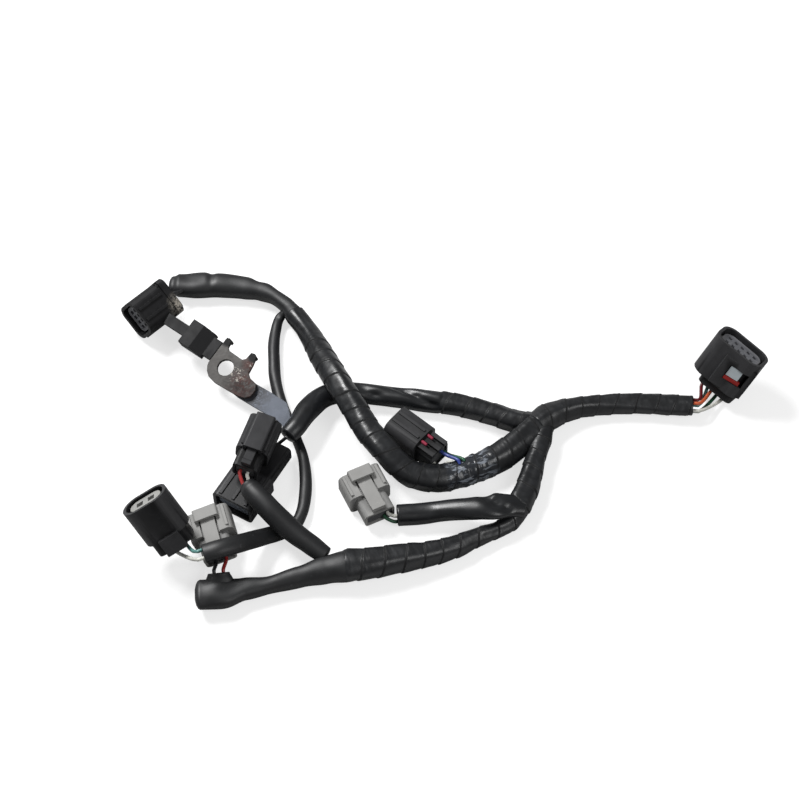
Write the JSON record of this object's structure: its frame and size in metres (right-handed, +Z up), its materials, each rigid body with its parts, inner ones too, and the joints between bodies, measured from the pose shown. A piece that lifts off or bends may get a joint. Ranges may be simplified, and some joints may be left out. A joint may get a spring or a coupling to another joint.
{
  "type": "vehicle wiring harness",
  "caption": "Taped and sleeved wiring harness with black and grey sealed connectors and a small steel bracket with a bolt hole.",
  "frame": {"origin": "middle of the bounding box in plan, on the plane the harness lies on", "axes": "+X from the branch with the bracket towards the branch with the many-way connector, +Z up from the plane it lies on"},
  "size_m": [0.3258, 0.1952, 0.0407],
  "materials": {
    "tape": "black wrapping tape, half glossy",
    "sleeve": "soft black tube",
    "black_plastic": "moulded, fine grain",
    "grey_plastic": "moulded, fine grain",
    "holder_plastic": "moulded",
    "pale_plastic": "moulded",
    "seal_rubber": "soft",
    "bracket_steel": "plated steel with rust patches",
    "strip_steel": "plated steel",
    "red_plastic": "moulded",
    "white_plastic": "moulded",
    "wire_cover": "coloured wire insulation"
  },
  "bodies": {
    "root": {"branch_a_sleeve": "sleeve", "trunk_tape": "tape", "branch_h_tape": "tape", "branch_c_tape": "tape", "branch_c_sleeve": "sleeve", "branch_e_sleeve": "sleeve", "lower_branch_tape": "tape", "branch_f_sleeve": "sleeve", "branch_bd_tape": "tape", "branch_d_sleeve": "sleeve", "branch_b_sleeve": "sleeve", "connector_a_housing": "black_plastic", "connector_a_terminal_holder": "holder_plastic", "connector_a_wire_seal": "seal_rubber", "connector_b_housing": "black_plastic", "connector_b_terminal_holder": "holder_plastic", "connector_b_wire_seal": "seal_rubber", "connector_c_housing": "black_plastic", "connector_c_terminal_holder": "holder_plastic", "connector_c_wire_seal": "seal_rubber", "connector_d_housing": "grey_plastic", "connector_d_terminal_holder": "grey_plastic", "connector_d_wire_seal": "seal_rubber", "connector_e_housing": "black_plastic", "connector_e_terminal_holder": "pale_plastic", "connector_e_wire_seal": "seal_rubber", "connector_f_housing": "grey_plastic", "connector_f_terminal_holder": "grey_plastic", "connector_f_wire_seal": "seal_rubber", "connector_g_housing": "black_plastic", "connector_g_terminal_holder": "holder_plastic", "connector_g_wire_seal": "seal_rubber", "connector_g_blank_plug_1": "red_plastic", "connector_g_blank_plug_2": "red_plastic", "connector_h_housing": "black_plastic", "connector_h_terminal_holder": "holder_plastic", "connector_h_wire_seal": "seal_rubber", "connector_h_lock_slide": "white_plastic", "connector_h_lock_bar": "red_plastic", "bracket_plate": "bracket_steel", "bracket_strip": "strip_steel", "connector_a_holder": "black_plastic", "wire_h_maroon": "wire_cover", "wire_h_teal": "wire_cover", "wire_h_orange": "wire_cover", "wire_h_green": "wire_cover", "wire_h_white": "wire_cover", "wire_e_teal": "wire_cover", "wire_e_white": "wire_cover", "wire_f_green": "wire_cover", "wire_f_white": "wire_cover", "wire_b_red": "wire_cover", "wire_b_white": "wire_cover", "wire_c_black": "wire_cover", "wire_g_blue": "wire_cover", "wire_g_green": "wire_cover", "wire_g_white": "wire_cover", "wire_d_black": "wire_cover", "wire_d_red": "wire_cover", "wire_a_black": "wire_cover"}
  },
  "joints": []
}
